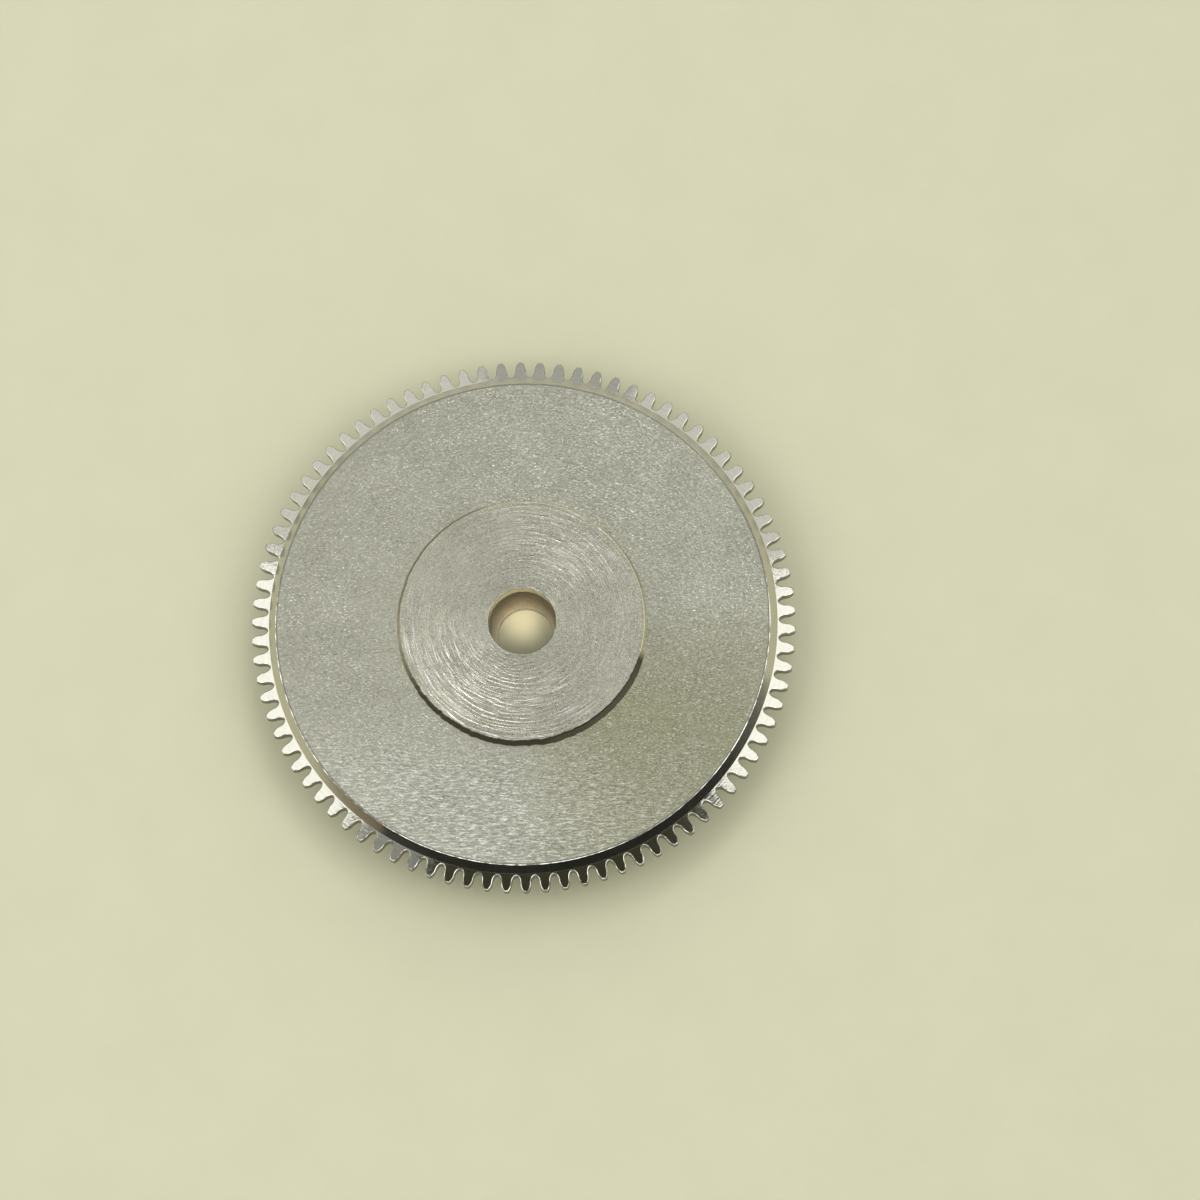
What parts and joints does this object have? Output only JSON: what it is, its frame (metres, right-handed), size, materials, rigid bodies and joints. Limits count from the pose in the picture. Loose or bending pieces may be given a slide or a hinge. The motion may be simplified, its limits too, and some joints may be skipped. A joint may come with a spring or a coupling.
{
  "type": "mainspring barrel",
  "caption": "Toothed watch barrel: a drum with a rim of teeth, a snap-in cover with a raised boss, and inside it a coiled mainspring on a slipping bridle.",
  "frame": {"origin": "on the barrel's axis, in the plane of the boss under the drum's floor", "axes": "+Z along the axis from the drum's floor to the cover; +X through the middle of a tooth"},
  "size_m": [0.0116, 0.0116, 0.0015],
  "materials": {
    "drum_metal": "nickel plated, grained faces and bright turned edges",
    "cover_metal": "nickel plated, fine grained disc with a turned boss",
    "spring_steel": "polished blade",
    "bridle_steel": "satin",
    "rivet_steel": "bright"
  },
  "bodies": {
    "drum": {"barrel_drum": "drum_metal"},
    "cover": {"barrel_cover": "cover_metal"},
    "spring": {"mainspring": "spring_steel", "bridle": "bridle_steel", "bridle_rivets": "rivet_steel"}
  },
  "joints": [
    {"name": "cover_lift", "type": "slide", "parent": "drum", "child": "cover", "axis": [0, 0, 1], "range_m": [0, 0.004]},
    {"name": "bridle_slip", "type": "hinge", "parent": "drum", "child": "spring", "pos_m": [0, 0, 0.00067], "axis": [0, 0, 1], "continuous": true}
  ]
}
